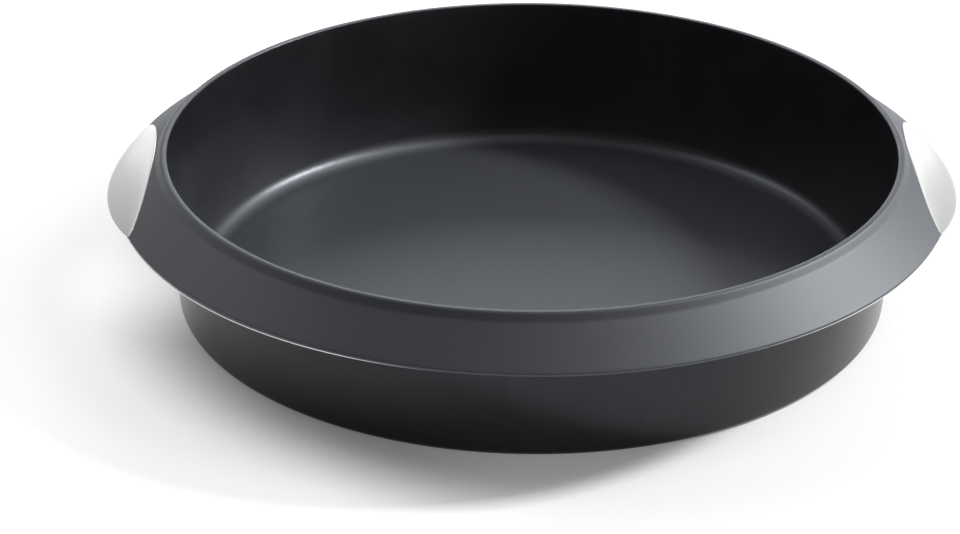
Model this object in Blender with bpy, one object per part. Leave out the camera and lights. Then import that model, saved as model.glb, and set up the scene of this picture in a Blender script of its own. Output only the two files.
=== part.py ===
"""Round silicone cake mould with a stainless steel carrying frame.

The soft mould is a shallow tub with a raised lip and a sloping collar.  Under the
collar lies a conical steel ring.  Two lens-shaped openings in the collar let the
ring's pressed grips come up flush with the silicone and reach past its edge.

Metres, +Z up.  The origin is the middle of the base, on the table.
"""
import math

import bmesh
import bpy

# Tub, in its free shape
RIM_INNER_R = 0.1300        # radius inside the lip, at the top
RIM_HEIGHT = 0.0562         # top of the lip above the table
BASE_R = 0.1272             # outside radius at the foot
WALL_AT_TOP = 0.0020        # wall thickness just under the collar
WALL_AT_FLOOR = 0.0054      # wall thickness down at the floor
FLOOR_THICKNESS = 0.0018
FOOT_ROUND = 0.0023         # outside corner at the foot
FLOOR_ROUND = 0.0068        # inside corner, generous so that cakes come out

# Lip, the upright bead round the mouth
LIP_THICKNESS = 0.0034
LIP_STAND = 0.0022          # how far the lip stands above the start of the collar
LIP_GROOVE_ROUND = 0.0010   # hollow between lip and collar

# Collar, the sloping brim of the mould
COLLAR_LENGTH = 0.0194      # along the slope, from lip to edge
COLLAR_SLOPE = math.radians(37.7)
COLLAR_THICKNESS = 0.0016
COLLAR_EDGE_ROUND = 0.0006
COLLAR_UNDER_ROUND = 0.0008

# Steel frame
SHEET = 0.0007              # steel thickness
SEAT_GAP = 0.0003           # clearance between collar and ring
RING_PROUD = 0.0003         # how far the ring shows past the collar's edge
RING_WALL_GAP = 0.0018      # clearance between tub wall and ring

# Grips
GRIP_HALF_LENGTH = 0.0485   # half the opening's length, along the collar
GRIP_LIP_GAP = 0.0013       # silicone left beside the lip, in the middle of the opening
GRIP_BOW = 0.0080           # how much the opening's inner edge bows out at its ends
GRIP_REACH = 0.0035         # how far the grip reaches past the collar's edge
GRIP_ARC_R = 0.1080         # radius of the grip's outer edge, in plan
WALL_OVERLAP = 0.0004       # shared metal where the ring runs into a grip's wall

# Smoothness
SEGMENTS = 96               # facets round the mould
ARC_STEPS = 24              # facets along the inner edge of a grip
DISC_STEPS = 120            # facets round the disc that shapes a grip's outer edge
CUTTER_MARGIN = 0.0100      # cutters run this far past what they cut
AXIS_TOLERANCE = 1e-9       # a point this near the axis lies on it
HAIRLINE = 0.00001          # keeps roundings and cut faces from falling exactly together

SILICONE_COLOUR = (0.045, 0.047, 0.051, 1.0)
STEEL_COLOUR = (0.62, 0.63, 0.63, 1.0)


def clear_scene():
    """Remove whatever the start-up file holds."""
    for item in list(bpy.data.objects):
        bpy.data.objects.remove(item, do_unlink=True)


def make_material(name, colour, roughness, metallic):
    """A plain Principled material."""
    material = bpy.data.materials.new(name)
    material.use_nodes = True
    shader = material.node_tree.nodes["Principled BSDF"]
    shader.inputs["Base Color"].default_value = colour
    shader.inputs["Roughness"].default_value = roughness
    shader.inputs["Metallic"].default_value = metallic
    return material


def lip_outer_radius():
    return RIM_INNER_R + LIP_THICKNESS


def wall_top_radius():
    """Outside radius of the wall, just under the collar."""
    return RIM_INNER_R + WALL_AT_TOP


def floor_inner_radius():
    """Radius inside the tub, at the floor."""
    return BASE_R - WALL_AT_FLOOR


def collar_point(along, below):
    """Radius and height of a point on or under the collar.

    along is measured down the slope from the lip, below is measured square to the
    slope, into the silicone and on through the steel beneath it.
    """
    radius = lip_outer_radius() + along * math.cos(COLLAR_SLOPE) - below * math.sin(COLLAR_SLOPE)
    height = RIM_HEIGHT - LIP_STAND - along * math.sin(COLLAR_SLOPE) - below * math.cos(COLLAR_SLOPE)
    return radius, height


def along_at_radius(radius, below):
    """Distance down the slope at which a line at this depth reaches a radius."""
    across = radius - lip_outer_radius() + below * math.sin(COLLAR_SLOPE)
    return across / math.cos(COLLAR_SLOPE)


def wall_meets_collar():
    """Where the tub's outer wall runs into the underside of the collar."""
    along = along_at_radius(wall_top_radius(), COLLAR_THICKNESS)
    return collar_point(along, COLLAR_THICKNESS)


def round_corner(before, corner, after, radius, steps):
    """Points of the arc that rounds one corner of a profile."""
    to_before = (before[0] - corner[0], before[1] - corner[1])
    to_after = (after[0] - corner[0], after[1] - corner[1])
    length_before = math.hypot(*to_before)
    length_after = math.hypot(*to_after)
    u = (to_before[0] / length_before, to_before[1] / length_before)
    v = (to_after[0] / length_after, to_after[1] / length_after)
    half = 0.5 * math.acos(u[0] * v[0] + u[1] * v[1])
    reach = radius / math.tan(half)
    middle = (u[0] + v[0], u[1] + v[1])
    scale = radius / math.sin(half) / math.hypot(*middle)
    centre = (corner[0] + middle[0] * scale, corner[1] + middle[1] * scale)
    start = (corner[0] + u[0] * reach, corner[1] + u[1] * reach)
    end = (corner[0] + v[0] * reach, corner[1] + v[1] * reach)
    first = math.atan2(start[1] - centre[1], start[0] - centre[0])
    last = math.atan2(end[1] - centre[1], end[0] - centre[0])
    turn = (last - first + math.pi) % (2 * math.pi) - math.pi
    points = []
    for step in range(steps + 1):
        angle = first + turn * step / steps
        x = centre[0] + radius * math.cos(angle)
        z = centre[1] + radius * math.sin(angle)
        points.append((x, z))
    return points


def rounded_profile(corners):
    """Turn (radius, height, rounding, steps) corners into a profile's points."""
    points = []
    for index, (radius, height, rounding, steps) in enumerate(corners):
        if rounding == 0.0:
            points.append((radius, height))
            continue
        before = corners[index - 1][:2]
        after = corners[(index + 1) % len(corners)][:2]
        points += round_corner(before, (radius, height), after, rounding, steps)
    return points


def revolve(name, profile):
    """Turn a closed profile about the Z axis.

    It starts half a facet off the X axis, so that no facet edge runs through the
    middle point of an opening, which lies on that axis.
    """
    mesh = bmesh.new()
    half_facet = math.pi / SEGMENTS
    side, depth = math.cos(half_facet), math.sin(half_facet)
    ring = [mesh.verts.new((radius * side, radius * depth, height)) for radius, height in profile]
    edges = [mesh.edges.new((ring[i], ring[i - 1])) for i in range(len(ring))]
    on_axis = [e for e in edges if all(v.co.xy.length < AXIS_TOLERANCE for v in e.verts)]
    for edge in on_axis:
        mesh.edges.remove(edge)
        edges.remove(edge)
    bmesh.ops.spin(
        mesh,
        geom=ring + edges,
        cent=(0.0, 0.0, 0.0),
        axis=(0.0, 0.0, 1.0),
        angle=2 * math.pi,
        steps=SEGMENTS,
        use_merge=True,
    )
    bmesh.ops.remove_doubles(mesh, verts=mesh.verts, dist=0.000001)
    return finish_mesh(name, mesh)


def prism(name, outline):
    """Stand an upright prism on a closed outline in the XY plane."""
    mesh = bmesh.new()
    corners = [mesh.verts.new((x, y, -CUTTER_MARGIN)) for x, y in outline]
    base = mesh.faces.new(corners)
    raised = bmesh.ops.extrude_face_region(mesh, geom=[base])
    top = [item for item in raised["geom"] if isinstance(item, bmesh.types.BMVert)]
    height = RIM_HEIGHT + 2 * CUTTER_MARGIN
    bmesh.ops.translate(mesh, verts=top, vec=(0.0, 0.0, height))
    return finish_mesh(name, mesh)


def finish_mesh(name, mesh):
    """Point the faces outwards and make the object."""
    bmesh.ops.recalc_face_normals(mesh, faces=mesh.faces)
    data = bpy.data.meshes.new(name)
    mesh.to_mesh(data)
    mesh.free()
    data.shade_smooth()
    data.set_sharp_from_angle(angle=math.radians(30))
    item = bpy.data.objects.new(name, data)
    bpy.context.scene.collection.objects.link(item)
    return item


def make_cutter(item):
    """Mark an object as a construction aid."""
    item.hide_render = True
    item.display_type = "WIRE"
    return item


def combine(target, tool, operation):
    """Add one exact Boolean step to an object."""
    step = target.modifiers.new(operation.title() + "_" + tool.name, "BOOLEAN")
    step.operation = operation
    step.object = tool
    step.solver = "EXACT"


def mirror_to_other_side(item):
    """Repeat the +X shape at -X."""
    step = item.modifiers.new("Other_side", "MIRROR")
    step.use_axis = (True, False, False)
    step.use_mirror_merge = False
    step.merge_threshold = 0.00001
    return item


def opening_edge(shrink):
    """Inner edge of a collar opening, as a half ellipse in plan.

    shrink draws the edge in evenly, for the steel that fits inside the opening.
    """
    middle = lip_outer_radius() + GRIP_LIP_GAP + GRIP_BOW
    points = []
    for step in range(ARC_STEPS + 1):
        angle = math.pi * (0.5 + step / ARC_STEPS)
        x = middle + (GRIP_BOW - shrink) * math.cos(angle)
        y = (GRIP_HALF_LENGTH - shrink) * math.sin(angle)
        points.append((x, y))
    return points


def grip_disc():
    """Plan of the disc whose rim is the outer edge of a grip."""
    centre = collar_point(COLLAR_LENGTH, 0.0)[0] + GRIP_REACH - GRIP_ARC_R
    points = []
    for step in range(DISC_STEPS):
        angle = 2 * math.pi * step / DISC_STEPS
        points.append((centre + GRIP_ARC_R * math.cos(angle), GRIP_ARC_R * math.sin(angle)))
    return points


def open_outline(shrink):
    """The opening's edge, carried outwards past the collar."""
    far = collar_point(COLLAR_LENGTH, 0.0)[0] + GRIP_REACH + CUTTER_MARGIN
    half = GRIP_HALF_LENGTH - shrink
    return opening_edge(shrink) + [(far, -half), (far, half)]


def cone_section(points):
    """A section given as (distance along the slope, depth below the collar's face)."""
    return [collar_point(along, below) for along, below in points]


def build_mould(material):
    """The silicone tub, lip and collar in one turned profile, with two openings."""
    wall_r, wall_z = wall_meets_collar()
    under_r, under_z = collar_point(COLLAR_LENGTH, COLLAR_THICKNESS)
    edge_r, edge_z = collar_point(COLLAR_LENGTH, 0.0)
    lip_r = lip_outer_radius()
    lip_round = LIP_THICKNESS / 2 - HAIRLINE
    corners = [
        (0.0, 0.0, 0.0, 0),
        (BASE_R, 0.0, FOOT_ROUND, 4),
        (wall_r, wall_z, COLLAR_UNDER_ROUND, 2),
        (under_r, under_z, COLLAR_EDGE_ROUND, 2),
        (edge_r, edge_z, COLLAR_EDGE_ROUND, 3),
        (lip_r, RIM_HEIGHT - LIP_STAND, LIP_GROOVE_ROUND, 3),
        (lip_r, RIM_HEIGHT, lip_round, 4),
        (RIM_INNER_R, RIM_HEIGHT, lip_round, 4),
        (floor_inner_radius(), FLOOR_THICKNESS, FLOOR_ROUND, 7),
        (0.0, FLOOR_THICKNESS, 0.0, 0),
    ]
    mould = revolve("silicone_mould", rounded_profile(corners))
    mould.data.materials.append(material)
    openings = make_cutter(prism("collar_openings", open_outline(0.0)))
    mirror_to_other_side(openings)
    combine(mould, openings, "DIFFERENCE")
    return mould


def build_grips():
    """Both pressed grips: a flush plate with a wall down to the level of the ring."""
    floor = COLLAR_THICKNESS + SEAT_GAP + SHEET - WALL_OVERLAP / 2
    ring_end = COLLAR_LENGTH + RING_PROUD
    far = COLLAR_LENGTH + GRIP_REACH + CUTTER_MARGIN
    under = SHEET + HAIRLINE
    section = [(0.0, 0.0), (0.0, floor), (ring_end, floor), (ring_end, under), (far, under), (far, 0.0)]
    grips = make_cutter(revolve("grip_blank", cone_section(section)))
    plan = make_cutter(prism("grip_plan", open_outline(SEAT_GAP)))
    combine(grips, plan, "INTERSECT")
    disc = make_cutter(prism("grip_disc", grip_disc()))
    combine(grips, disc, "INTERSECT")
    deep = floor + CUTTER_MARGIN
    wide = far + CUTTER_MARGIN
    hollow_section = [(0.0, SHEET), (0.0, deep), (wide, deep), (wide, SHEET)]
    hollow = make_cutter(revolve("grip_hollow", cone_section(hollow_section)))
    hollow_plan = make_cutter(prism("hollow_plan", open_outline(SEAT_GAP + SHEET)))
    combine(hollow, hollow_plan, "INTERSECT")
    combine(grips, hollow, "DIFFERENCE")
    return mirror_to_other_side(grips)


def build_frame(material):
    """The steel ring under the collar, with its two grips."""
    seat = COLLAR_THICKNESS + SEAT_GAP
    inner = wall_top_radius() + RING_WALL_GAP
    start = along_at_radius(inner, seat)
    end = COLLAR_LENGTH + RING_PROUD
    section = [(start, seat), (start, seat + SHEET), (end, seat + SHEET), (end, seat)]
    frame = revolve("steel_frame", cone_section(section))
    frame.data.materials.append(material)
    gaps = make_cutter(prism("ring_gaps", open_outline(SEAT_GAP + WALL_OVERLAP)))
    mirror_to_other_side(gaps)
    combine(frame, gaps, "DIFFERENCE")
    combine(frame, build_grips(), "UNION")
    return frame


def build():
    clear_scene()
    silicone = make_material("silicone", SILICONE_COLOUR, 0.45, 0.0)
    steel = make_material("stainless_steel", STEEL_COLOUR, 0.22, 1.0)
    build_mould(silicone)
    build_frame(steel)


build()
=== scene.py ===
# %% [markdown]
# # A round silicone cake mould in its steel carrying frame
#
# The object has two pieces.  One is a soft, dark grey moulding: a shallow tub with a
# rounded lip and a sloping collar.  The other is one pressing of thin stainless
# sheet: a ring under the collar that grows into a grip at each side.  The collar has
# a lens-shaped opening over each grip, and the grip comes up through it, flush with
# the silicone.
#
# The imported CAD model is loaded first, and the extent of each of its two solids is printed.
# The new surfaces below are drawn at its places and sizes, and take the place of its two solids.

# %% Load the imported model
import math

import bpy
import numpy as np
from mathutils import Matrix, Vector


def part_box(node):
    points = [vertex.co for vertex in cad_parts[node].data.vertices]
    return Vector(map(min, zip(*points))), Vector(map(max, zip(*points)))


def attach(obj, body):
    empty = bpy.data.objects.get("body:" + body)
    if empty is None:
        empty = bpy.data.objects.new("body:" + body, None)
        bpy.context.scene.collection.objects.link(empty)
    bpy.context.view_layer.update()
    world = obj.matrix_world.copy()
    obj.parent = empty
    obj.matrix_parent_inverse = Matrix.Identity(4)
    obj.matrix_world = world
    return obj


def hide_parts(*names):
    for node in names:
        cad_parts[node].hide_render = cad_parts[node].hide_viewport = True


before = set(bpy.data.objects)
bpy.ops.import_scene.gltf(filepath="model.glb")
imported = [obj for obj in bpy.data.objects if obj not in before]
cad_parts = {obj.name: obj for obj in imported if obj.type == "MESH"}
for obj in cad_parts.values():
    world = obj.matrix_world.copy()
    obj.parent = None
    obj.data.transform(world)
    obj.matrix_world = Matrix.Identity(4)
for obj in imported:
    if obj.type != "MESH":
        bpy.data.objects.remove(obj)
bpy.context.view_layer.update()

for node in sorted(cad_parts):
    low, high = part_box(node)
    print(node, "from", [round(v, 4) for v in low], "to", [round(v, 4) for v in high])

# %% [markdown]
# ## Sizes
#
# A maker's drawing of the mould would be one half section, because the tub is round.
# The radii and heights are in metres.  The collar has its own coordinates: how far
# along its slope a point lies from the lip, and how deep it lies below the collar's
# face, measured square to it.  In these coordinates silicone and steel are both
# plain straight layers, so they are easy to keep apart.

# %% Sizes of the tub, the lip and the collar
MIDDLE_R = 0.0040
MOUTH_R = 0.1300
RIM_Z = 0.0562
FOOT_R = 0.1272
FLOOR_R = 0.1218
WALL_TOP_R = 0.1320
FLOOR_Z = 0.0018
FOOT_ROUND = 0.0023
FLOOR_ROUND = 0.0068
LIP_WIDTH = 0.0034
LIP_STAND = 0.0022
LIP_ROUND = 0.0007
LIP_SHOULDER = 0.0015
LIP_LEAN = 0.0013
LIP_FOOT = 0.0008
GROOVE_ROUND = 0.0040
LIP_OUTER_R = MOUTH_R + LIP_WIDTH

COLLAR_LENGTH = 0.0194
COLLAR_SLOPE = math.radians(37.7)
COLLAR_DEPTH = 0.0016
COLLAR_EDGE = 0.0006
COLLAR_FILLET = 0.0008
SLOPE_ACROSS = math.cos(COLLAR_SLOPE)
SLOPE_DOWN = math.sin(COLLAR_SLOPE)


def on_collar(along, below):
    """Radius and height of a point given in the collar's own coordinates.

    Radius: start at the lip's outer radius, go along the slope by its cosine, and
    back by the depth times its sine.  Height: start at the collar's top line, go
    down by the distance times the sine and by the depth times the cosine.
    """
    radius = LIP_OUTER_R + along * SLOPE_ACROSS - below * SLOPE_DOWN
    height = RIM_Z - LIP_STAND - along * SLOPE_DOWN - below * SLOPE_ACROSS
    return radius, height


def along_at(radius, below):
    """Distance along the slope at which a line at this depth reaches a radius."""
    return (radius - LIP_OUTER_R + below * SLOPE_DOWN) / SLOPE_ACROSS


print("collar edge at radius", round(on_collar(COLLAR_LENGTH, 0.0)[0], 5))

# %% [markdown]
# The steel's sizes are given in the collar's coordinates too.  The ring is very
# slightly oval, as a thin pressing is once it has been carried full and hot: it
# reaches just past the collar's edge near the grips, and stays just under it at the
# front and back.  Each opening is bounded by half an ellipse towards the lip, and
# each grip by part of a circle outside.

# %% Sizes of the steel and of the openings
SHEET = 0.0007
SEAT_GAP = 0.0003
RING_PROUD = -0.00031
RING_OVAL = 0.00070
RING_LONG_AXIS = math.radians(-175.0)
RING_WALL_GAP = 0.0018
RING_LEVEL = COLLAR_DEPTH + SEAT_GAP + SHEET / 2
GRIP_LEVEL = SHEET / 2
OPENING_HALF = 0.0485
OPENING_LIP_GAP = 0.0013
OPENING_BOW = 0.0080
GRIP_REACH = 0.0035
GRIP_ARC_R = 0.1080
OPENING_MIDDLE = LIP_OUTER_R + OPENING_LIP_GAP + OPENING_BOW
GRIP_ARC_MIDDLE = on_collar(COLLAR_LENGTH, 0.0)[0] + GRIP_REACH - GRIP_ARC_R


def opening_radius(angle, inset=0.0):
    """Radius at which a ray from the axis meets the inner edge of an opening.

    The edge is half of an ellipse.  Putting the ray into the ellipse's equation
    gives a quadratic in the radius, whose smaller root is the near side.  Rays that
    miss the ellipse get a radius far outside.  inset draws the ellipse in evenly.
    """
    folded = np.abs(angle_from_x(angle))
    bow, half = OPENING_BOW - inset, OPENING_HALF - inset
    a = (np.cos(folded) / bow) ** 2 + (np.sin(folded) / half) ** 2
    b = OPENING_MIDDLE * np.cos(folded) / bow ** 2
    c = (OPENING_MIDDLE / bow) ** 2 - 1.0
    inside = b * b - a * c
    near = (b - np.sqrt(np.maximum(inside, 0.0))) / a
    return np.where(inside > 0.0, near, 1.0)


def angle_from_x(angle):
    """Angle to the nearer of +X and -X, so that both openings are one shape."""
    return (angle + math.pi / 2) % math.pi - math.pi / 2


def grip_radius(angle):
    """Radius at which a ray meets the disc whose rim is the outer edge of a grip."""
    folded = angle_from_x(angle)
    side = GRIP_ARC_MIDDLE * np.sin(folded)
    return GRIP_ARC_MIDDLE * np.cos(folded) + np.sqrt(GRIP_ARC_R ** 2 - side ** 2)


# %% [markdown]
# ## Columns round the axis
#
# Both pieces are grids: rows follow the section, columns go round the axis.  Most of
# the way round nothing changes, but at the four ends of the openings the edge turns
# sharply within a millimetre.  The columns are therefore not evenly spaced.  A weight
# says how many are wanted at each angle, and its running sum, read backwards, places
# them.

# %% Angles of the columns
COLUMNS = 640
CROWDING = 16.0
CROWD_WIDTH = math.radians(0.8)
FINE_STEPS = 40000

trial = np.linspace(0.0, math.pi / 2, FINE_STEPS // 2 + 1)
edge_radius = on_collar(COLLAR_LENGTH, 0.0)[0]
corner_angle = float(trial[np.argmin(np.abs(opening_radius(trial) - edge_radius))])
fine = np.linspace(0.0, 2 * math.pi, FINE_STEPS + 1)
near_corner = (np.abs(angle_from_x(fine)) - corner_angle) / CROWD_WIDTH
weight = 1.0 + CROWDING * np.exp(-near_corner ** 2)
running = np.concatenate([[0.0], np.cumsum((weight[1:] + weight[:-1]) / 2)])
wanted = np.arange(COLUMNS) / COLUMNS * running[-1]
ANGLE = np.interp(wanted, running, fine)
print("openings end", round(math.degrees(corner_angle), 2), "degrees from X")
column_gaps = np.diff(ANGLE) * edge_radius * 1000
print("columns are", round(float(column_gaps.min()), 3), "to",
      round(float(column_gaps.max()), 3), "mm apart at the collar's edge")

# %% [markdown]
# ## Helpers for surfaces
#
# `smooth_step` is the usual cubic ease.  `soft_min` and `soft_max` join two edges
# with a small round instead of a sharp corner.  `ring_faces` works out the corners of
# all the quads of a grid at once, and `lay_mesh` hands points and faces to Blender in
# one call, with no loop over vertices.

# %% Helpers
def smooth_step(start, end, value):
    """Zero before start, one after end, and three t squared minus two t cubed between."""
    t = np.clip((value - start) / (end - start), 0.0, 1.0)
    return t * t * (3.0 - 2.0 * t)


def soft_min(first, second, blend):
    """The smaller of two arrays, with a round of about this size where they cross."""
    gap = np.abs(first - second)
    return np.minimum(first, second) - np.maximum(blend - gap, 0.0) ** 2 / (4 * blend)


def soft_max(first, second, blend):
    """The larger of two arrays, with a round where they cross."""
    return -soft_min(-first, -second, blend)


def ring_faces(rows, columns, wrap_rows):
    """Quads of a grid whose columns close on themselves, as an array of corners.

    The number of a point is its row times the number of columns, plus its column.
    wrap_rows closes the rows on themselves too, as on a ring of sheet.
    """
    last = rows if wrap_rows else rows - 1
    row = np.arange(last)[:, None]
    column = np.arange(columns)[None, :]
    below, right = (row + 1) % rows, (column + 1) % columns
    corners = (row * columns + column, row * columns + right,
               below * columns + right, below * columns + column)
    return np.stack(np.broadcast_arrays(*corners), axis=-1).reshape(-1, 4)


def lay_mesh(name, points, quads, fans=()):
    """Make a smooth-shaded object from an array of points and its faces."""
    data = bpy.data.meshes.new(name)
    faces = quads.tolist() + [list(fan) for fan in fans]
    data.from_pydata(points.reshape(-1, 3), [], faces)
    data.validate()
    data.shade_smooth()
    item = bpy.data.objects.new(name, data)
    bpy.context.scene.collection.objects.link(item)
    return item


def turn(radius, height, angle):
    """Points in space for a grid of radii and heights, one angle to a column.

    The two level coordinates are the radius by the cosine and by the sine of the angle.
    """
    x = radius * np.cos(angle)
    y = radius * np.sin(angle)
    return np.stack(np.broadcast_arrays(x, y, height), axis=-1)


# %% [markdown]
# ## The half section's rounded corners
#
# A silicone moulding has no sharp corner anywhere: the steel tool is milled with
# round cutters, and thin sharp edges would tear.  Each corner of the section is a
# true arc.  Its points come from turning evenly from one end of the arc to the
# other, and each straight run gets a few rows of its own so that the quads stay well
# shaped.

# %% Rounded section
def arc(before, corner, after, rounding, steps):
    """Points of the arc that rounds one corner of a section.

    The arc touches both legs at the rounding over the tangent of half their angle.
    Its points are the two end spokes mixed by the sines of the part angles, which
    turns evenly from one to the other.
    """
    before, corner, after = (np.array(p, float) for p in (before, corner, after))
    u = (before - corner) / np.linalg.norm(before - corner)
    v = (after - corner) / np.linalg.norm(after - corner)
    half = math.acos(float(u @ v)) / 2
    centre = corner + (u + v) / np.linalg.norm(u + v) * rounding / math.sin(half)
    first = corner + u * rounding / math.tan(half) - centre
    last = corner + v * rounding / math.tan(half) - centre
    sweep = math.pi - 2 * half
    t = np.linspace(0.0, 1.0, steps + 1)[:, None]
    spokes = np.sin((1 - t) * sweep) * first + np.sin(t * sweep) * last
    return centre + spokes / math.sin(sweep)


def run(first, last, steps):
    """Evenly spaced points between two points, without the ends.

    A point is the first by one minus t, plus the last by t.
    """
    t = np.linspace(0.0, 1.0, steps + 1)[1:-1, None]
    return np.array(first) * (1 - t) + np.array(last) * t


def section(corners):
    """Join rounded corners by straight runs.

    corners holds (radius, height, rounding, arc steps, run steps), where the run is
    the one that leads to the next corner.  The first and last corners stay sharp.
    """
    parts = [np.array([corners[0][:2]])]
    for i in range(1, len(corners) - 1):
        piece = arc(corners[i - 1][:2], corners[i][:2], corners[i + 1][:2], *corners[i][2:4])
        parts += [run(parts[-1][-1], piece[0], corners[i - 1][4]), piece]
    end = np.array([corners[-1][:2]])
    parts += [run(parts[-1][-1], end[0], corners[-2][4]), end]
    return np.concatenate(parts)


wall_r, wall_z = on_collar(along_at(WALL_TOP_R, COLLAR_DEPTH), COLLAR_DEPTH)
far_r, far_z = on_collar(COLLAR_LENGTH, COLLAR_DEPTH)
outside = section([
    (MIDDLE_R, 0.0, 0, 0, 8),
    (FOOT_R, 0.0, FOOT_ROUND, 8, 12),
    (wall_r, wall_z, COLLAR_FILLET, 6, 2),
    (far_r, far_z, 0, 0, 0),
])[:-2]
inside = section([
    on_collar(COLLAR_LENGTH, 0.0) + (0, 0, 2),
    on_collar(LIP_FOOT, 0.0) + (GROOVE_ROUND, 8, 2),
    (LIP_OUTER_R - LIP_LEAN, RIM_Z, LIP_SHOULDER, 9, 2),
    (MOUTH_R, RIM_Z, LIP_ROUND, 9, 14),
    (FLOOR_R, FLOOR_Z, FLOOR_ROUND, 16, 10),
    (MIDDLE_R, FLOOR_Z, 0, 0, 0),
])[2:]
print("section rows:", len(outside), "outside,", len(inside), "inside")

# %% [markdown]
# ## The silicone mould
#
# Between the two parts of the section lies the collar, and its length changes round
# the axis: full length almost everywhere, but drawn back to the opening's edge over
# each grip.  Each collar row is a share of that length plus a place on the rounded
# edge.  Where the opening's edge runs at a slant to the section, the rounding is
# stretched by the same slant, so that it keeps its true size square to the edge.

# %% Collar length round the axis
TIP_ROUND = 0.0003


def edge_slant(reach, angle):
    """How much longer a cut along the section is than one square to the edge.

    It is the root of one plus the square of the edge's steepness: the change of
    reach along the slope over the distance walked round the axis.
    """
    closed_reach = np.concatenate([reach[-1:], reach, reach[:1]])
    closed_angle = np.concatenate([angle[-1:] - 2 * math.pi, angle, angle[:1] + 2 * math.pi])
    walked = (closed_angle[2:] - closed_angle[:-2]) * (LIP_OUTER_R + reach * SLOPE_ACROSS)
    return np.sqrt(1.0 + ((closed_reach[2:] - closed_reach[:-2]) / walked) ** 2)


opening_along = along_at(opening_radius(ANGLE), 0.0)
collar_reach = soft_min(opening_along, np.full(COLUMNS, COLLAR_LENGTH), TIP_ROUND)
collar_slant = edge_slant(collar_reach, ANGLE)
print("collar reaches", round(collar_reach.min() * 1000, 2), "to",
      round(collar_reach.max() * 1000, 2), "mm along its slope")

# %% [markdown]
# The rows start under the collar at the wall, run out to its edge, go round the edge
# in two quarter turns and come back along its face to the lip.  `share` says how far
# along the straight part a row lies, `nose` how far out on the rounded edge, and
# `bend` how much of the edge's radius it has turned away from its own face.

# %% Collar rows
EDGE_STEPS = 7
UNDER_STEPS = 8
FACE_STEPS = 16
OPENING_EDGE = 0.00025
OPENING_EDGE_RUN = 0.0004
below_rows = UNDER_STEPS + EDGE_STEPS
face_rows = FACE_STEPS + EDGE_STEPS

quarter = np.linspace(0.0, math.pi / 2, EDGE_STEPS + 1)
outwards = np.linspace(0.0, 1.0, UNDER_STEPS + 1)[1:]
inwards = np.linspace(1.0, 0.0, FACE_STEPS + 1)[1:-1]
flat_below, flat_above = np.zeros(UNDER_STEPS), np.zeros(FACE_STEPS - 1)
share = np.concatenate([outwards, np.ones(2 * EDGE_STEPS + 1), inwards])
nose = np.concatenate([flat_below, np.sin(quarter[1:]), np.cos(quarter), flat_above])
bend = np.concatenate([flat_below, np.cos(quarter[1:]) - 1.0, 1.0 - np.sin(quarter), flat_above])
far_depth = np.concatenate([np.full(below_rows, COLLAR_DEPTH), np.zeros(face_rows)])
under_start = along_at(outside[-1][0], COLLAR_DEPTH)
face_start = along_at(inside[0][0], 0.0)
start = np.concatenate([np.full(below_rows, under_start), np.full(face_rows, face_start)])
at_opening = smooth_step(0.0, OPENING_EDGE_RUN, COLLAR_LENGTH - collar_reach)
edge_room = collar_slant * (COLLAR_EDGE + (OPENING_EDGE - COLLAR_EDGE) * at_opening)
straight = collar_reach - edge_room - start[:, None]
collar_along = start[:, None] + share[:, None] * straight + nose[:, None] * edge_room
depth = far_depth[:, None] + bend[:, None] * edge_room / collar_slant
collar_r, collar_z = on_collar(collar_along, depth)
print("collar rows:", len(share))

# %% Silicone mould
section_r = np.concatenate([
    np.repeat(outside[:, :1], COLUMNS, 1), collar_r, np.repeat(inside[:, :1], COLUMNS, 1)])
section_z = np.concatenate([
    np.repeat(outside[:, 1:], COLUMNS, 1), collar_z, np.repeat(inside[:, 1:], COLUMNS, 1)])
mould_points = turn(section_r, section_z, ANGLE)
mould_rows = len(section_r)
poles = np.array([[0.0, 0.0, 0.0], [0.0, 0.0, FLOOR_Z]])
all_points = np.concatenate([mould_points.reshape(-1, 3), poles])
ring = np.arange(COLUMNS)
after = (ring + 1) % COLUMNS
last_ring = (mould_rows - 1) * COLUMNS
under_fan = np.stack([after, ring, np.full(COLUMNS, mould_rows * COLUMNS)], 1)
floor_fan = np.stack([ring, after, np.full(COLUMNS, mould_rows * COLUMNS + 1)], 1)
floor_fan[:, :2] += last_ring
mould_faces = ring_faces(mould_rows, COLUMNS, False)
mould = lay_mesh("silicone_tub", all_points, mould_faces, np.concatenate([under_fan, floor_fan]))
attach(mould, "silicone_mould")
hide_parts("silicone_mould")
print("silicone tub:", len(mould.data.polygons), "faces")

# %% [markdown]
# The walls of the moulding tool are polished, so that the rubber lets go of them, and
# its other faces are spark-eroded, which gives the collar, the lip and the floor
# their fine matt texture.  Every point of the mesh keeps a number that says how much
# texture it has, and the material reads it.  It is lowest on the outside wall, nought
# on the inside wall, one half on the collar and lip, and one on the floor.

# %% Texture of the moulding, point by point
OUTER_TEXTURE = -0.1
WALL_TEXTURE = 0.0
COLLAR_TEXTURE = 0.5
FLOOR_TEXTURE = 1.0
LIP_BLEND = (MOUTH_R - 0.0002, MOUTH_R + 0.0004)
CORNER_BLEND = (FLOOR_R + 0.0060, FLOOR_R - 0.0100)

inner_r = inside[:, 0]
texture_rows = np.concatenate([
    np.full(len(outside), OUTER_TEXTURE),
    np.linspace(OUTER_TEXTURE, COLLAR_TEXTURE, below_rows),
    np.full(face_rows, COLLAR_TEXTURE),
    COLLAR_TEXTURE * smooth_step(*LIP_BLEND, inner_r) + smooth_step(*CORNER_BLEND, inner_r)])
texture = np.concatenate([np.repeat(texture_rows, COLUMNS), [WALL_TEXTURE, FLOOR_TEXTURE]])
mould.data.attributes.new("texture", "FLOAT", "POINT").data.foreach_set(
    "value", texture.astype(np.float32))
print("texture from", texture.min(), "to", texture.max())

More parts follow.
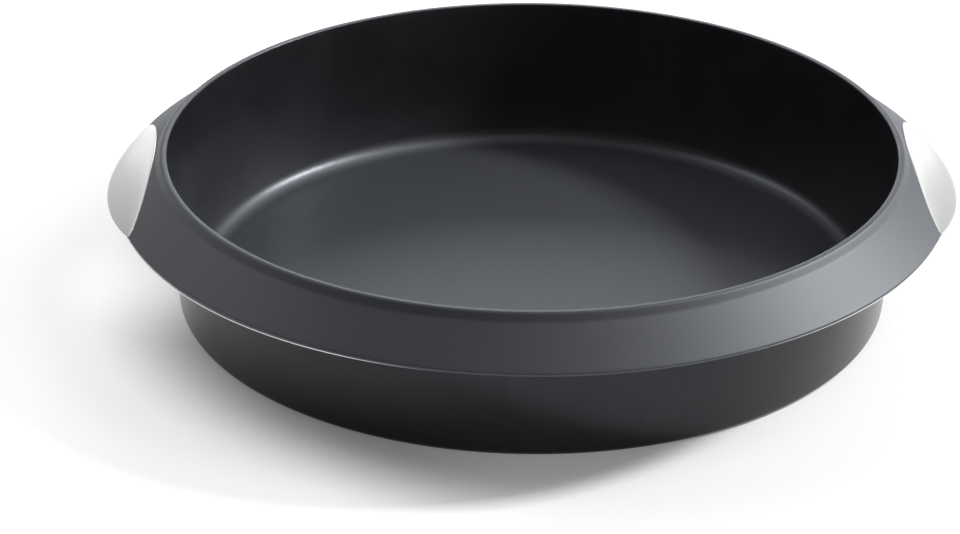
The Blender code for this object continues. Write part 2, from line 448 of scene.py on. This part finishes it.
# %% [markdown]
# ## The steel frame
#
# The frame is pressed from one sheet.  Going outwards at one angle, the sheet lies
# under the collar, climbs through the opening beside the silicone, runs flush with
# the collar's face, and is turned down along its outer edge so that it is kind to the
# fingers.  Away from the grips the climb and the turned edge have no height, and the
# sheet simply ends at the collar's edge.
#
# A middle surface with a Solidify modifier would be shorter to write, but it pinches
# where the sheet turns within its own thickness.  Here each face of the sheet gets
# its own rows, a sheet's thickness apart, and each bend is a true quarter turn.

# %% Outline of the frame
FACE_GAP = 0.00008
TIP_BLEND = 0.0004
CLIMB_ROOM = 0.0003

folded = np.abs(angle_from_x(ANGLE))
from_tip = (corner_angle - folded) * edge_radius
ring_end = COLLAR_LENGTH + RING_PROUD + RING_OVAL * np.cos(2 * (ANGLE - RING_LONG_AXIS))
grip_end = along_at(grip_radius(ANGLE), 0.0)
sheet_end = soft_max(ring_end, grip_end, TIP_BLEND)
climb_along = along_at(opening_radius(ANGLE, FACE_GAP), 0.0)
climb_along = soft_min(climb_along, sheet_end - CLIMB_ROOM, CLIMB_ROOM)
plate_width = sheet_end - climb_along
print("grip reaches", round(float(sheet_end.max()) * 1000, 2), "mm along the slope")

# %% [markdown]
# The plate rises from nothing to its full height within half a millimetre of its tip.
# The turned edge hangs about a millimetre all along, and reaches down to the ring
# near the tips, where the grip grows out of it.  Where the plate is too narrow to
# hold both faces of the sheet, the lower face stays in the ring.

# %% Heights of the frame
RIM_DROP = 0.0010
GRIP_RISE = RING_LEVEL - GRIP_LEVEL
TIP_RUN = (-0.0001, 0.0004)
DROP_RUN = (0.0090, 0.0005)
ROOM_NEEDED = (0.0014, 0.0030)

rise = GRIP_RISE * smooth_step(*TIP_RUN, from_tip)
drop = np.minimum(rise, RIM_DROP + (GRIP_RISE - RIM_DROP) * smooth_step(*DROP_RUN, from_tip))
lifted = smooth_step(*ROOM_NEEDED, plate_width)
turned = np.minimum(drop / RIM_DROP, 1.0) * lifted
rise_below = rise * lifted
drop_below = np.maximum(drop - rise + rise_below - SHEET * turned, 0.0)
climb_slant = edge_slant(climb_along, ANGLE)
end_slant = edge_slant(sheet_end, ANGLE)
print("grip rises", round(GRIP_RISE * 1000, 2), "mm above the ring")

# %% [markdown]
# The plate isn't quite flat: the press dishes it a little between the opening and
# the outer edge, which is what draws its reflections into soft curves.  Near the
# tips the hanging edge is drawn inwards in a shallow hollow.  The climb and the
# hanging edge lean a few hundredths of a millimetre outwards, so that no two rows of
# points fall on each other.

# %% Faces of the sheet
BEND_STEPS, RING_STEPS, PLATE_STEPS, HANG_STEPS = 6, 12, 17, 6
RING_ROOM = 0.0004
WALL_LEAN = 0.00006
DISH_SLOPE = 0.15
HOLLOW = 0.0006
HOLLOW_RUN = (0.0090, 0.0030)

turn_in = np.linspace(0.0, math.pi / 2, BEND_STEPS + 1)
ring_share = np.linspace(0.0, 1.0, RING_STEPS + 1)[:-1, None]
plate_share = np.linspace(0.0, 1.0, PLATE_STEPS + 1)[1:-1, None]
hang_share = np.linspace(0.0, 1.0, HANG_STEPS + 1)[1:, None]
hollow = HOLLOW * smooth_step(*HOLLOW_RUN, from_tip) * smooth_step(0.0, TIP_RUN[1], from_tip)
ring_start = along_at(WALL_TOP_R + RING_WALL_GAP, COLLAR_DEPTH + SEAT_GAP)
ring_start = np.minimum(ring_start, climb_along - RING_ROOM)


def sheet_face(level, wall, end, rise, drop, low_bend, high_bend, rim_bend):
    """Rows of one face of the sheet, as distances along the slope and depths below it.

    The rows run along the ring, round the low bend, up the wall, round the high bend,
    across the plate and round the turned edge.  A bend is a quarter turn: its places
    go by the sine of the angle and its heights by one minus the cosine.  The dish is
    the share of the plate's width by one minus the share.  Where the rise is nothing,
    all rows lie flat in the ring.
    """
    swing, dip = np.sin(turn_in)[:, None] - 1.0, 1.0 - np.cos(turn_in)[:, None]
    low = wall + swing * low_bend - WALL_LEAN / 2
    high = wall - swing[::-1] * high_bend + WALL_LEAN / 2
    climb_height = np.concatenate([dip * low_bend, GRIP_RISE - dip[::-1] * high_bend]) / GRIP_RISE
    hang = rim_bend / RIM_DROP + hang_share * (1.0 - rim_bend / RIM_DROP)
    hung = end + WALL_LEAN * hang_share - hollow * np.sin(math.pi * hang_share)
    rim = np.concatenate([end + swing * rim_bend, hung])
    rim_height = np.concatenate([dip * rim_bend / RIM_DROP, hang])
    ring_rows = ring_start + ring_share * (low[0] - ring_start)
    plate_rows = high[-1] + plate_share * (rim[0] - high[-1])
    along = np.concatenate([ring_rows, low, high, plate_rows, rim])
    dish = DISH_SLOPE * plate_share * (1.0 - plate_share) * plate_width * lifted
    depth = level - np.concatenate([
        np.zeros((len(ring_rows), COLUMNS)), climb_height * rise,
        rise - dish, rise - rim_height * drop])
    return along, depth


# %% Bends of the two faces
UPPER_LOW_BEND = 0.0003
UPPER_HIGH_BEND = (0.00018, 0.20)
UPPER_RIM_BEND = (0.0007, 0.40)
LOWER_LOW_BEND = (0.0003, 0.10)
LOWER_HIGH_BEND = (0.0002, 0.10)
LOWER_RIM_BEND = (0.0003, 0.15)
LOWER_ROOM = 0.0006


def fitted(bend, share):
    """A bend's size in every column: at most this share of the plate's width."""
    return np.minimum(bend, share * plate_width)


upper_along, upper_depth = sheet_face(
    RING_LEVEL - SHEET / 2, climb_along, sheet_end, rise, drop,
    np.full(COLUMNS, UPPER_LOW_BEND), fitted(*UPPER_HIGH_BEND), fitted(*UPPER_RIM_BEND))
thick_end = sheet_end - SHEET * end_slant * turned
thick_wall = soft_min(climb_along + SHEET * climb_slant, thick_end - LOWER_ROOM, CLIMB_ROOM)
lower_along, lower_depth = sheet_face(
    RING_LEVEL + SHEET / 2, thick_wall, thick_end, rise_below, drop_below,
    fitted(*LOWER_LOW_BEND), fitted(*LOWER_HIGH_BEND), fitted(*LOWER_RIM_BEND))
print("sheet rows:", len(upper_along), "on each face")

# %% [markdown]
# Both edges of the sheet are closed by half a circle, as a sheared and tumbled edge
# is.  The circle stands on the last points of the two faces: its middle is between
# them, and it bulges square to the line that joins them.

# %% Steel frame
def round_edge(first, second, outwards):
    """Half circles from the first row to the second, bulging to the side given.

    The centre is the mean of both rows.  A point is the centre plus the half span by
    the sine, plus the bulge by the cosine, of an angle that goes through half a turn.
    The bulge is the given direction made square to the span, as long as the half span.
    """
    centre, span = (first + second) / 2, (first - second) / 2
    size = np.linalg.norm(span, axis=-1, keepdims=True)
    bulge = outwards - span * (outwards * span).sum(-1, keepdims=True) / size ** 2
    bulge *= size / np.linalg.norm(bulge, axis=-1, keepdims=True)
    half_turn = np.linspace(math.pi / 2, -math.pi / 2, BEND_STEPS + 1)[1:-1, None, None]
    return centre + span * np.sin(half_turn) + bulge * np.cos(half_turn)


upper = turn(*on_collar(upper_along, upper_depth), ANGLE)
lower = turn(*on_collar(lower_along, lower_depth), ANGLE)
onwards = (upper[-1] - upper[-2]) + (lower[-1] - lower[-2])
outer_edge = round_edge(upper[-1], lower[-1], onwards)
inner_edge = round_edge(lower[0], upper[0], upper[0] - upper[1])
skin = np.concatenate([upper, outer_edge, lower[::-1], inner_edge])
steel = lay_mesh("steel_carrier", skin, ring_faces(len(skin), COLUMNS, True)[:, ::-1])
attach(steel, "steel_frame")
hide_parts("steel_frame")
print("steel carrier:", len(steel.data.polygons), "faces")

# %% [markdown]
# ## Materials
#
# Two effects are used by both materials, so each is a node group with named inputs:
# soft blotches, where hands and washing have changed the shine a little, and fine
# specks of dust.  The groups put out masks.  Each material then decides what a mask
# does to its own colour, roughness and bump.

# %% Node helpers
def new_group(name, inputs, outputs):
    """A shader node group with float inputs (name, value) and float outputs."""
    group = bpy.data.node_groups.new(name, "ShaderNodeTree")
    for label, value in inputs:
        socket = group.interface.new_socket(label, in_out="INPUT", socket_type="NodeSocketFloat")
        socket.default_value = value
    for label in outputs:
        group.interface.new_socket(label, in_out="OUTPUT", socket_type="NodeSocketFloat")
    return group


def add(tree, kind, values=(), **settings):
    """Add a node, set its properties, then its input values by name or number."""
    node = tree.nodes.new(kind)
    for key, value in settings.items():
        setattr(node, key, value)
    for key, value in dict(values).items():
        node.inputs[key].default_value = value
    return node


def wire(tree, *pairs):
    """Join sockets: each pair is (output, input)."""
    for output, target in pairs:
        tree.links.new(output, target)


def ramp(tree, value, low, high, to_low=0.0, to_high=1.0):
    """Ease a value from one range to another, by three t squared minus two t cubed."""
    node = add(tree, "ShaderNodeMapRange", {"From Min": low, "From Max": high,
                                            "To Min": to_low, "To Max": to_high},
               interpolation_type="SMOOTHSTEP")
    wire(tree, (value, node.inputs["Value"]))
    return node.outputs["Result"]


# %% Group: soft blotches
BLOTCH_SOFTNESS = 0.12


def blotch_group():
    """Large noise, eased to a mask: one in the blotches, zero between them."""
    group = new_group("Soft_blotches", [("Size", 0.03), ("Spread", 0.5)], ["Mask"])
    source = add(group, "NodeGroupInput")
    result = add(group, "NodeGroupOutput")
    place = add(group, "ShaderNodeTexCoord")
    scale = add(group, "ShaderNodeMath", {0: 1.0}, operation="DIVIDE")
    noise = add(group, "ShaderNodeTexNoise", {"Detail": 5.0, "Roughness": 0.6, "Distortion": 0.6})
    low = add(group, "ShaderNodeMath", {1: BLOTCH_SOFTNESS}, operation="SUBTRACT")
    high = add(group, "ShaderNodeMath", {1: BLOTCH_SOFTNESS}, operation="ADD")
    mask = add(group, "ShaderNodeMapRange", interpolation_type="SMOOTHSTEP")
    wire(group,
         (source.outputs["Size"], scale.inputs[1]), (scale.outputs[0], noise.inputs["Scale"]),
         (place.outputs["Object"], noise.inputs["Vector"]),
         (source.outputs["Spread"], low.inputs[0]), (source.outputs["Spread"], high.inputs[0]),
         (low.outputs[0], mask.inputs["From Min"]), (high.outputs[0], mask.inputs["From Max"]),
         (noise.outputs["Fac"], mask.inputs["Value"]),
         (mask.outputs["Result"], result.inputs["Mask"]))
    return group


# %% Group: specks
def speck_group():
    """Small round specks: the cells of a Voronoi pattern, near their centres only.

    A random number of each cell decides whether it has a speck at all.
    """
    group = new_group("Fine_specks", [("Size", 0.002), ("Share", 0.2), ("Radius", 0.2)], ["Mask"])
    source = add(group, "NodeGroupInput")
    result = add(group, "NodeGroupOutput")
    place = add(group, "ShaderNodeTexCoord")
    scale = add(group, "ShaderNodeMath", {0: 1.0}, operation="DIVIDE")
    cells = add(group, "ShaderNodeTexVoronoi")
    split = add(group, "ShaderNodeSeparateColor")
    chosen = add(group, "ShaderNodeMath", operation="LESS_THAN")
    spot = add(group, "ShaderNodeMapRange", {"From Min": 0.0, "To Min": 1.0, "To Max": 0.0},
               interpolation_type="SMOOTHSTEP")
    both = add(group, "ShaderNodeMath", operation="MULTIPLY")
    wire(group,
         (source.outputs["Size"], scale.inputs[1]), (scale.outputs[0], cells.inputs["Scale"]),
         (place.outputs["Object"], cells.inputs["Vector"]),
         (cells.outputs["Color"], split.inputs["Color"]),
         (split.outputs["Red"], chosen.inputs[0]), (source.outputs["Share"], chosen.inputs[1]),
         (cells.outputs["Distance"], spot.inputs["Value"]),
         (source.outputs["Radius"], spot.inputs["From Max"]),
         (chosen.outputs[0], both.inputs[0]), (spot.outputs["Result"], both.inputs[1]),
         (both.outputs[0], result.inputs["Mask"]))
    return group


blotches = blotch_group()
specks = speck_group()
print("groups:", blotches.name, specks.name)

# %% [markdown]
# ### Silicone
#
# Food-grade silicone shows whatever finish its steel tool has.  On the smooth walls
# it is nearly black, with a plain soft shine.  On the textured collar, lip and floor
# the same rubber looks dark grey, because every small facet catches some light.
#
# All of that follows the texture number of the mesh.  The colour goes from nearly
# black to grey and the shine gets broader.  A bump of noise, with grains from about a
# millimetre down to a tenth, gets deeper.  A second, broad sheen lies over the
# texture, strongest on the collar, and is made with the coat.  Blotches, where hands
# have been, and a few specks of dust break the evenness.

# %% Silicone material
SILICONE_SMOOTH = (0.0090, 0.0095, 0.0108, 1.0)
SILICONE_ROUGH = (0.039, 0.041, 0.045, 1.0)
SILICONE_WORN = (0.034, 0.036, 0.039, 1.0)
SILICONE_DUST = (0.12, 0.12, 0.12, 1.0)
SILICONE_IOR = 1.45
TEXTURE_IOR = 1.60
SILICONE_SHEEN = (0.88, 0.925, 1.0, 1.0)
ROUGH_OUTSIDE = 0.22
ROUGH_WALL = 0.32
ROUGH_FLOOR = 0.57
ROUGH_FROM = 0.40
SHEEN_LOSS = (0.12, 0.50)
GRAIN_SCALE = 800.0
GRAIN_HEIGHT = 0.00025
GRAIN_STRENGTH = 0.3
GRAIN_ON_WALL = 0.15
HANDLED_SIZE = 0.035
HANDLED_SHARE = 0.2
DUST = {"Size": 0.0035, "Share": 0.06, "Radius": 0.05}


def mix_colour(tree, mask, first, second):
    """A colour that goes from first to second as the mask goes from zero to one."""
    node = add(tree, "ShaderNodeMix", data_type="RGBA")
    for socket, value in ((node.inputs[6], first), (node.inputs[7], second)):
        if isinstance(value, tuple):
            socket.default_value = value
        else:
            wire(tree, (value, socket))
    wire(tree, (mask, node.inputs[0]))
    return node.outputs[2]


def new_material(name):
    """A material with its tree, its Principled node and object coordinates."""
    material = bpy.data.materials.new(name)
    material.use_nodes = True
    tree = material.node_tree
    place = add(tree, "ShaderNodeTexCoord").outputs["Object"]
    return material, tree, tree.nodes["Principled BSDF"], place


def silicone_colour(tree, texture):
    """Nearly black to grey with the texture, then faint blotches, then dust."""
    handled = add(tree, "ShaderNodeGroup", {"Size": HANDLED_SIZE}, node_tree=blotches)
    dust = add(tree, "ShaderNodeGroup", DUST, node_tree=specks)
    faint = add(tree, "ShaderNodeMath", {1: HANDLED_SHARE}, operation="MULTIPLY")
    wire(tree, (handled.outputs["Mask"], faint.inputs[0]))
    colour = mix_colour(tree, texture, SILICONE_SMOOTH, SILICONE_ROUGH)
    colour = mix_colour(tree, faint.outputs[0], colour, SILICONE_WORN)
    return mix_colour(tree, dust.outputs["Mask"], colour, SILICONE_DUST)


def silicone_shine(tree, texture):
    """Roughness and weight of the second sheen, both by the texture.

    The roughness is the smaller of two ramps, one on each side of the inside wall's
    texture.  The sheen grows up to the collar and is partly lost towards the floor.
    """
    rough = add(tree, "ShaderNodeMath", operation="MINIMUM")
    polished = ramp(tree, texture, OUTER_TEXTURE, WALL_TEXTURE, ROUGH_OUTSIDE, ROUGH_FLOOR)
    eroded = ramp(tree, texture, ROUGH_FROM, COLLAR_TEXTURE, ROUGH_WALL, ROUGH_FLOOR)
    sheen = add(tree, "ShaderNodeMath", operation="SUBTRACT", use_clamp=True)
    gained = ramp(tree, texture, WALL_TEXTURE, COLLAR_TEXTURE)
    lost = ramp(tree, texture, COLLAR_TEXTURE, FLOOR_TEXTURE, *SHEEN_LOSS)
    wire(tree, (polished, rough.inputs[0]), (eroded, rough.inputs[1]),
         (gained, sheen.inputs[0]), (lost, sheen.inputs[1]))
    return rough.outputs[0], sheen.outputs[0]


def silicone_grain(tree, texture, place):
    """A bump of fine noise, faint on the walls and deep where there is texture."""
    grain = add(tree, "ShaderNodeTexNoise", {"Scale": GRAIN_SCALE, "Detail": 4.0, "Roughness": 0.65})
    height = add(tree, "ShaderNodeMath", operation="MULTIPLY")
    bump = add(tree, "ShaderNodeBump", {"Strength": GRAIN_STRENGTH, "Distance": GRAIN_HEIGHT})
    depth = ramp(tree, texture, WALL_TEXTURE, COLLAR_TEXTURE, GRAIN_ON_WALL, 1.0)
    wire(tree, (place, grain.inputs["Vector"]), (grain.outputs["Fac"], height.inputs[0]),
         (depth, height.inputs[1]), (height.outputs[0], bump.inputs["Height"]))
    return bump.outputs["Normal"]


# %% Silicone material, put together
def silicone_material():
    """Colour, shine, sheen and bump by the texture, and the rest alike all over."""
    material, tree, shader, place = new_material("silicone_matt")
    texture = add(tree, "ShaderNodeAttribute", attribute_name="texture").outputs["Fac"]
    rough, sheen = silicone_shine(tree, texture)
    wire(tree, (silicone_colour(tree, texture), shader.inputs["Base Color"]),
         (rough, shader.inputs["Roughness"]), (sheen, shader.inputs["Coat Weight"]),
         (silicone_grain(tree, texture, place), shader.inputs["Normal"]))
    shader.inputs["Coat Roughness"].default_value = ROUGH_FLOOR
    shader.inputs["Coat IOR"].default_value = TEXTURE_IOR
    shader.inputs["Coat Tint"].default_value = SILICONE_SHEEN
    shader.inputs["IOR"].default_value = SILICONE_IOR
    shader.inputs["Specular Tint"].default_value = SILICONE_SHEEN
    return material


silicone = silicone_material()
mould.data.materials.append(silicone)
print("silicone:", len(silicone.node_tree.nodes), "nodes")

# %% [markdown]
# ### Stainless steel
#
# The sheet is satin stainless steel.  Its shine is soft, with the finest grain along
# the way it was rolled, square to the line from grip to grip.  The grain is a noise
# squeezed to a tenth of a millimetre one way and left long the other.  Blotches
# change the roughness a little, as fingers do.

# %% Steel material
STEEL = (0.76, 0.77, 0.77, 1.0)
STEEL_ROUGH = (0.22, 0.24)
STEEL_HANDLED_SIZE = 0.020
ROLLED_SCALE = (9000.0, 160.0, 9000.0)
ROLLED_HEIGHT = 0.00002
ROLLED_STRENGTH = 0.12


def steel_material():
    """A metal whose roughness follows the blotches and whose bump is the rolled grain."""
    material, tree, shader, place = new_material("stainless_satin")
    handled = add(tree, "ShaderNodeGroup", {"Size": STEEL_HANDLED_SIZE}, node_tree=blotches)
    stretch = add(tree, "ShaderNodeMapping", {"Scale": ROLLED_SCALE})
    grain = add(tree, "ShaderNodeTexNoise", {"Scale": 1.0, "Detail": 2.0})
    wire(tree, (place, stretch.inputs["Vector"]), (stretch.outputs["Vector"], grain.inputs["Vector"]))
    rough = ramp(tree, handled.outputs["Mask"], 0.0, 1.0, *STEEL_ROUGH)
    bump = add(tree, "ShaderNodeBump", {"Strength": ROLLED_STRENGTH, "Distance": ROLLED_HEIGHT})
    wire(tree, (rough, shader.inputs["Roughness"]), (grain.outputs["Fac"], bump.inputs["Height"]),
         (bump.outputs["Normal"], shader.inputs["Normal"]))
    shader.inputs["Base Color"].default_value = STEEL
    shader.inputs["Metallic"].default_value = 1.0
    return material


stainless = steel_material()
steel.data.materials.append(stainless)
print("steel:", len(stainless.node_tree.nodes), "nodes")

# %% [markdown]
# ## The white table
#
# The object stands on a white table in front of white.  The table is an ordinary
# pale surface that takes the mould's shadow.  Rays that come straight from the camera
# or by way of a reflection see it a little brighter than it is lit, so that it joins
# the white behind it, but it sends no more light to the object.
#
# How much brighter depends on the place.  Close round the foot it is little, so that
# the mould keeps a dark shadow to stand on.  Beside the mould, on the side away from
# the lamp, it is more, because white walls fill such a shadow in a real studio.  Far
# from the lamp it is most.

# %% White for the eye
AMBIENT = 0.10


def seen_rays(tree):
    """One for rays from the camera, a glossy surface or clear glass, else zero."""
    path = add(tree, "ShaderNodeLightPath")
    total = path.outputs["Is Camera Ray"]
    for label in ("Is Glossy Ray", "Is Transmission Ray"):
        step = add(tree, "ShaderNodeMath", operation="ADD", use_clamp=True)
        wire(tree, (total, step.inputs[0]), (path.outputs[label], step.inputs[1]))
        total = step.outputs[0]
    return total


def white_world():
    """A white world to look at, and a weak one to be lit by."""
    world = bpy.data.worlds.new("white_studio")
    bpy.context.scene.world = world
    world.use_nodes = True
    tree = world.node_tree
    background = tree.nodes["Background"]
    strength = ramp(tree, seen_rays(tree), 0.0, 1.0, AMBIENT, 1.0)
    wire(tree, (strength, background.inputs["Strength"]))
    background.inputs["Color"].default_value = (1.0, 1.0, 1.0, 1.0)


white_world()
print("ambient light:", AMBIENT)

# %% Lift of the table
LIFT_FOOT_LEFT, LIFT_FOOT_RIGHT = 0.11, 0.18
LIFT_SHADE, LIFT_LIT, LIFT_FAR = 0.61, 0.20, 0.80
FOOT_MIDDLE = (0.012, 0.0, 0.0)
FOOT_SHADE = (0.134, 0.176)
LEFT_TO_RIGHT = (-0.06, 0.0)
SHADE_TO_LIT = (-0.08, 0.01)
SHADE_END = (0.24, 0.40)
LAMP_SPOT = (0.5, 0.3, 0.0)
LAMP_SPOT_RUN = (0.55, 1.7)
CARD_SPOT = (-0.124, 0.002, 0.0)
CARD_SPOT_RUN = 0.055
CARD_LIFT = 0.34


def distance_to(tree, place, spot):
    """Distance from a place to a fixed spot, both as vectors."""
    node = add(tree, "ShaderNodeVectorMath", {1: spot}, operation="DISTANCE")
    wire(tree, (place, node.inputs[0]))
    return node.outputs["Value"]


def floor_lift(tree):
    """How much brighter the table is seen than it is lit, by the place on it.

    The lift eases from its value at the mould's foot to its value further out, with
    the distance from the foot's middle.  Further out it is the shade's lift on the
    left, near the mould, and elsewhere it grows with the distance from the spot that
    the lamp lights most.  Where a card lights the table beside the left grip, a small
    round lift is added.
    """
    place = add(tree, "ShaderNodeTexCoord").outputs["Object"]
    across = add(tree, "ShaderNodeSeparateXYZ")
    wire(tree, (place, across.inputs[0]))
    open_table = add(tree, "ShaderNodeMath", operation="MAXIMUM")
    outer = add(tree, "ShaderNodeMapRange", {"To Min": LIFT_SHADE})
    lift = add(tree, "ShaderNodeMapRange", {"From Min": FOOT_SHADE[0], "From Max": FOOT_SHADE[1]},
               interpolation_type="SMOOTHSTEP")
    total = add(tree, "ShaderNodeMath", operation="ADD")
    far_away = ramp(tree, distance_to(tree, place, (0.0, 0.0, 0.0)), *SHADE_END)
    right = ramp(tree, across.outputs["X"], *SHADE_TO_LIT)
    lit = ramp(tree, distance_to(tree, place, LAMP_SPOT), *LAMP_SPOT_RUN, LIFT_LIT, LIFT_FAR)
    foot = ramp(tree, across.outputs["X"], *LEFT_TO_RIGHT, LIFT_FOOT_LEFT, LIFT_FOOT_RIGHT)
    card = ramp(tree, distance_to(tree, place, CARD_SPOT), 0.0, CARD_SPOT_RUN, CARD_LIFT, 0.0)
    wire(tree, (far_away, open_table.inputs[0]), (right, open_table.inputs[1]),
         (open_table.outputs[0], outer.inputs["Value"]), (lit, outer.inputs["To Max"]),
         (distance_to(tree, place, FOOT_MIDDLE), lift.inputs["Value"]),
         (foot, lift.inputs["To Min"]), (outer.outputs[0], lift.inputs["To Max"]),
         (lift.outputs["Result"], total.inputs[0]), (card, total.inputs[1]))
    return total.outputs[0]


# %% Table
FLOOR_COLOUR = (0.85, 0.85, 0.85, 1.0)
FLOOR_HALF = 4.0


def floor_object():
    """A large square at height nought, seen a little brighter than it is lit."""
    square = np.array([[-1.0, -1.0, 0.0], [1.0, -1.0, 0.0], [1.0, 1.0, 0.0], [-1.0, 1.0, 0.0]])
    item = lay_mesh("studio_floor", square * FLOOR_HALF, np.array([[0, 1, 2, 3]]))
    material = bpy.data.materials.new("white_table")
    material.use_nodes = True
    tree = material.node_tree
    shader = tree.nodes["Principled BSDF"]
    shader.inputs["Base Color"].default_value = FLOOR_COLOUR
    shader.inputs["Roughness"].default_value = 0.9
    shader.inputs["Specular IOR Level"].default_value = 0.1
    lift = add(tree, "ShaderNodeMath", operation="MULTIPLY")
    wire(tree, (seen_rays(tree), lift.inputs[0]), (floor_lift(tree), lift.inputs[1]),
         (lift.outputs[0], shader.inputs["Emission Strength"]))
    shader.inputs["Emission Color"].default_value = (1.0, 1.0, 1.0, 1.0)
    item.data.materials.append(material)
    return item


table = floor_object()
print("table:", 2 * FLOOR_HALF, "metres square")

# %% [markdown]
# ## The studio round the mould
#
# Satin steel and the sheen of silicone show the room more than their own colour, so
# the room has to be right.  A dome that only reflections see stands for it: bright
# walls low down, brightest behind the mould, and a darker ceiling, which is why the
# top of the collar stays dark.  Nothing in it sends light.

# %% Backdrop
DOME_R = 3.5
DOME_SINK = 0.05
DOME_TURNS, DOME_STEPS = 48, 16
DOME_LEVEL = 0.55
DOME_LEAST = 0.12
DOME_FADE = (0.17, 0.32, -0.70)


def dome_mesh():
    """A half sphere: radius by the cosine of the height angle, height by its sine."""
    level = np.linspace(0.0, math.pi / 2, DOME_STEPS + 1)[:-1, None]
    around = np.linspace(0.0, 2 * math.pi, DOME_TURNS, endpoint=False)
    dome = turn(DOME_R * np.cos(level), DOME_R * np.sin(level) - DOME_SINK, around)
    points = np.concatenate([dome.reshape(-1, 3), [[0.0, 0.0, DOME_R - DOME_SINK]]])
    last_row = np.arange(DOME_TURNS) + (DOME_STEPS - 1) * DOME_TURNS
    fan = np.stack([last_row, np.roll(last_row, -1),
                    np.full(DOME_TURNS, DOME_STEPS * DOME_TURNS)], 1)
    return lay_mesh("studio_backdrop", points, ring_faces(DOME_STEPS, DOME_TURNS, False), fan)


def backdrop_object():
    """A dome whose glow falls evenly along one slanted direction, to a least value."""
    item = dome_mesh()
    item.visible_camera = item.visible_diffuse = item.visible_shadow = False
    item.visible_transmission = item.visible_volume_scatter = False
    material = bpy.data.materials.new("studio_backdrop")
    material.use_nodes = True
    tree = material.node_tree
    shader = tree.nodes["Principled BSDF"]
    shader.inputs["Base Color"].default_value = (0.0, 0.0, 0.0, 1.0)
    shader.inputs["Specular IOR Level"].default_value = 0.0
    shader.inputs["Emission Color"].default_value = (1.0, 1.0, 1.0, 1.0)
    fade = [share / DOME_R for share in DOME_FADE]
    slope = add(tree, "ShaderNodeVectorMath", {1: fade}, operation="DOT_PRODUCT")
    glow = add(tree, "ShaderNodeMath", {1: DOME_LEVEL}, operation="ADD")
    least = add(tree, "ShaderNodeMath", {1: DOME_LEAST}, operation="MAXIMUM", use_clamp=True)
    wire(tree, (add(tree, "ShaderNodeTexCoord").outputs["Object"], slope.inputs[0]),
         (slope.outputs["Value"], glow.inputs[0]), (glow.outputs[0], least.inputs[0]),
         (least.outputs[0], shader.inputs["Emission Strength"]))
    item.data.materials.append(material)
    return item


backdrop = backdrop_object()
print("backdrop:", len(backdrop.data.polygons), "faces")

# %% [markdown]
# ## Lamps
#
# One fairly small lamp from the right, like a window, gives the shadow and the clear
# shine on the floor's rounded corner.  Large weak ones stand for the light that the
# walls and the ceiling throw back: they open the dark side without a second shadow.
# Each lamp is given by its compass angle, its height angle, its side and its power.

# %% Lamps
LAMP_AWAY = 1.6


def soft_lamp(name, azimuth, elevation, size, power):
    """A square lamp aimed at the mould from a compass angle and a height angle.

    It stands on a sphere round the mould: the level part is the cosine of the height
    angle, turned by the compass angle, and the height is the sine.
    """
    data = bpy.data.lights.new(name, "AREA")
    data.shape = "SQUARE"
    data.size = size
    data.energy = power
    lamp = bpy.data.objects.new(name, data)
    bpy.context.scene.collection.objects.link(lamp)
    az, el = math.radians(azimuth), math.radians(elevation)
    lamp.location = [LAMP_AWAY * math.cos(el) * math.cos(az),
                     LAMP_AWAY * math.cos(el) * math.sin(az), LAMP_AWAY * math.sin(el)]
    lamp.rotation_euler = (math.pi / 2 - el, 0.0, az + math.pi / 2)


soft_lamp("window_light", 9.0, 37.0, size=0.23, power=25.5)
soft_lamp("ceiling_bounce", 2.0, 54.0, size=0.6, power=4.0)
soft_lamp("left_card", 157.0, 45.0, size=0.8, power=4.5)
soft_lamp("back_softbox", 90.0, 24.0, size=0.6, power=4.9)
soft_lamp("overhead_fill", -60.0, 74.0, size=0.8, power=1.0)
print("lamps:", len(bpy.data.lights))

# %% [markdown]
# ## Camera
#
# The photograph was taken with a long lens from the front, a little over a metre
# away, looking down at about 27 degrees.  A long lens keeps the round mouth close to
# a true ellipse.  The camera's turn is written as three angles, in degrees about X,
# Y and Z: the first would be 90 for a level look.

# %% Camera
SENSOR_WIDTH = 36.0
LENS = 131.25
CAMERA_AT = (-0.03238, -1.13659, 0.57464)
CAMERA_TURN = (63.453, -0.080, -0.660)

lens = bpy.data.cameras.new("camera")
lens.sensor_width = SENSOR_WIDTH
lens.lens = LENS
lens.clip_start = 0.05
camera = bpy.data.objects.new("camera", lens)
camera.location = CAMERA_AT
camera.rotation_euler = [math.radians(angle) for angle in CAMERA_TURN]
bpy.context.scene.collection.objects.link(camera)
bpy.context.scene.camera = camera
bpy.context.scene.view_settings.view_transform = "Standard"
print("camera looks down by", round(90.0 - CAMERA_TURN[0], 1), "degrees")
